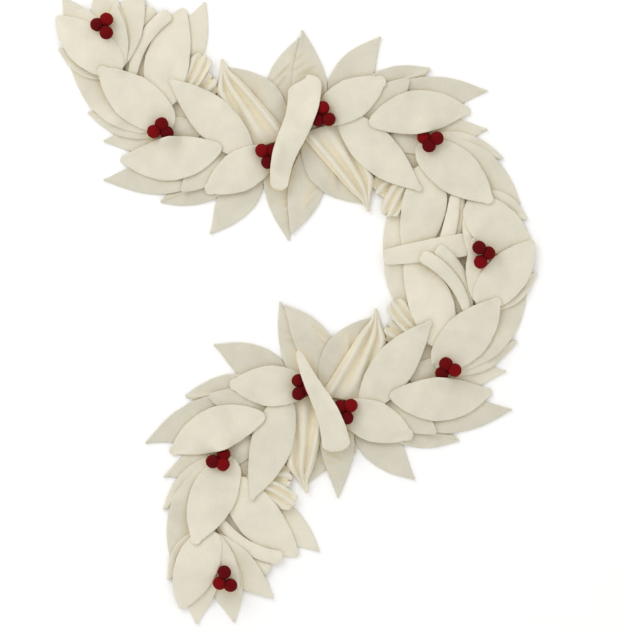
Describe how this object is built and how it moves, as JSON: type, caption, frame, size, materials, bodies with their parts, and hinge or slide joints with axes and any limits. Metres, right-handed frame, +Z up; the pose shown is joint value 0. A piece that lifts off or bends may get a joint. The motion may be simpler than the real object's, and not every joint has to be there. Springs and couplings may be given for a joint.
{
  "type": "felt mistletoe garland",
  "caption": "S-shaped garland of pointed ivory felt leaves overlapping in sprays, with clusters of small red felt berries, lying flat.",
  "frame": {"origin": "the middle of the garland's plan box, on the surface that it lies on", "axes": "+Y along the garland's longest extent, towards the end that is topmost in the picture; +X to the picture's right; +Z up, out of the surface"},
  "size_m": [0.6488, 0.87, 0.052],
  "materials": {
    "leaf_felt": "thick wool felt, matt, a little fuzzy",
    "berry_felt": "felted wool ball, matt, fuzzy"
  },
  "bodies": {
    "root": {"left_top_outer_spray": "leaf_felt", "right_top_outer_spray": "leaf_felt", "left_low_outer_spray": "leaf_felt", "right_low_outer_spray": "leaf_felt", "left_top_shoulder_spray": "leaf_felt", "right_top_shoulder_spray": "leaf_felt", "left_low_shoulder_spray": "leaf_felt", "right_low_shoulder_spray": "leaf_felt", "left_top_seam_spray": "leaf_felt", "right_top_seam_spray": "leaf_felt", "left_low_seam_spray": "leaf_felt", "right_low_seam_spray": "leaf_felt", "left_top_inner_spray": "leaf_felt", "right_top_inner_spray": "leaf_felt", "left_low_inner_spray": "leaf_felt", "right_low_inner_spray": "leaf_felt", "middle_leaf": "leaf_felt", "left_top_finger_spray": "leaf_felt", "right_top_finger_spray": "leaf_felt", "left_low_finger_spray": "leaf_felt", "right_low_finger_spray": "leaf_felt", "left_top_pleat_spray": "leaf_felt", "right_top_pleat_spray": "leaf_felt", "left_low_pleat_spray": "leaf_felt", "right_low_pleat_spray": "leaf_felt", "left_top_end_spray": "leaf_felt", "right_top_end_spray": "leaf_felt", "left_low_end_spray": "leaf_felt", "right_low_end_spray": "leaf_felt", "left_top_long_leaf": "leaf_felt", "right_top_long_leaf": "leaf_felt", "left_low_long_leaf": "leaf_felt", "right_low_long_leaf": "leaf_felt", "left_top_cheek_leaf": "leaf_felt", "right_top_cheek_leaf": "leaf_felt", "left_low_cheek_leaf": "leaf_felt", "right_low_cheek_leaf": "leaf_felt", "left_top_crest_leaf": "leaf_felt", "right_top_crest_leaf": "leaf_felt", "left_low_crest_leaf": "leaf_felt", "right_low_crest_leaf": "leaf_felt", "left_top_seam_berries": "berry_felt", "right_top_seam_berries": "berry_felt", "left_low_seam_berries": "berry_felt", "right_low_seam_berries": "berry_felt", "left_top_crown_berries": "berry_felt", "right_top_crown_berries": "berry_felt", "left_low_crown_berries": "berry_felt", "right_low_crown_berries": "berry_felt", "left_top_middle_berries": "berry_felt", "left_low_middle_berries": "berry_felt", "right_low_middle_berries": "berry_felt", "left_top_bridge_leaf": "leaf_felt", "right_top_bridge_leaf": "leaf_felt", "left_low_bridge_leaf": "leaf_felt", "right_low_bridge_leaf": "leaf_felt", "left_top_seam_leaf": "leaf_felt", "right_top_seam_leaf": "leaf_felt", "left_low_seam_leaf": "leaf_felt", "right_low_seam_leaf": "leaf_felt"}
  },
  "joints": []
}
